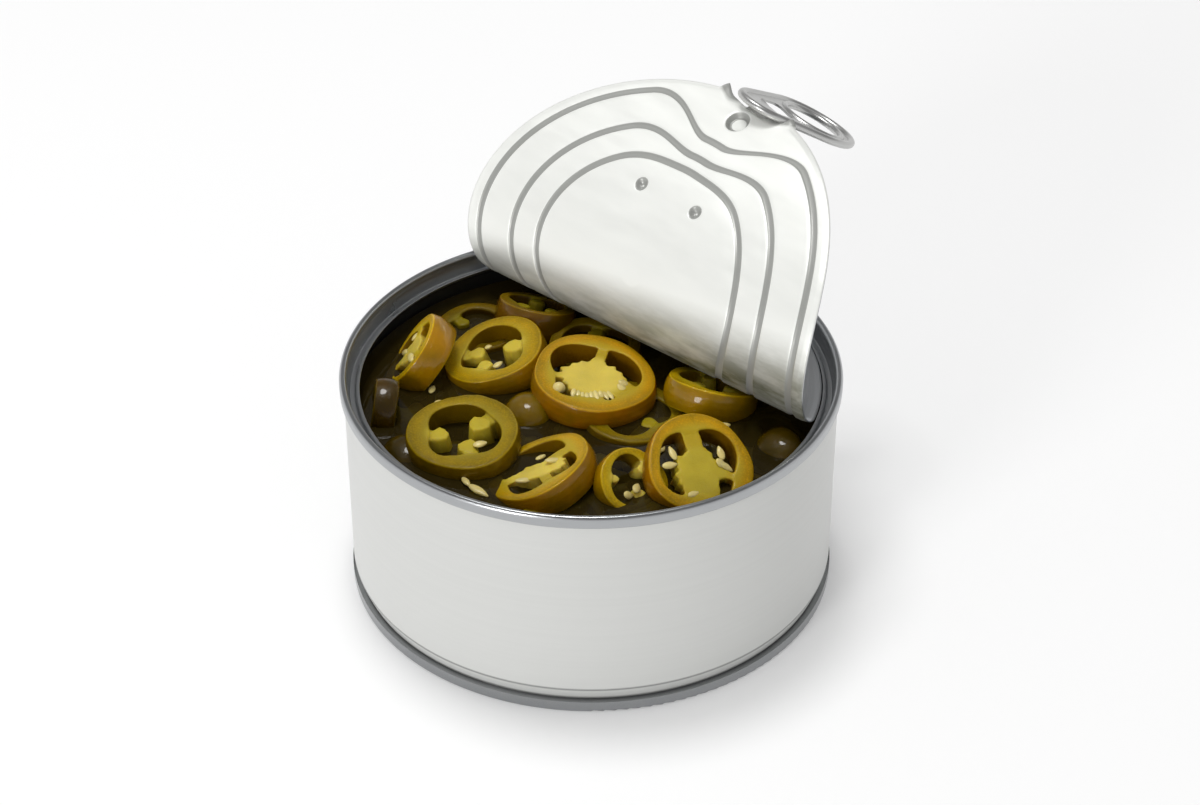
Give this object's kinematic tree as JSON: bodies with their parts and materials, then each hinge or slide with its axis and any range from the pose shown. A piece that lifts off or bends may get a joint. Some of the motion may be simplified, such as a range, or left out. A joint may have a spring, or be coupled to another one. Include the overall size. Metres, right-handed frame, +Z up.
{
  "type": "can of sliced jalapenos",
  "caption": "Short round food can of pickled green pepper slices in brine, its easy-open lid torn, folded and rolled back with the ring pull still on it.",
  "frame": {"origin": "middle of the can's base, on the plane that the lower seam stands on", "axes": "+Z up along the can's axis; the lid is rolled back over +X and +Y, and its open side faces -X and -Y"},
  "size_m": [0.1067, 0.1098, 0.0904],
  "materials": {
    "wall": "satin",
    "tinplate": "satin",
    "lid": "satin",
    "ring_pull": "satin",
    "pickles": "wet"
  },
  "bodies": {
    "root": {"can_body": "wall", "bottom_end": "tinplate", "easy_open_end": "lid", "pull_tab": "ring_pull", "sliced_jalapenos": "pickles"}
  },
  "joints": []
}
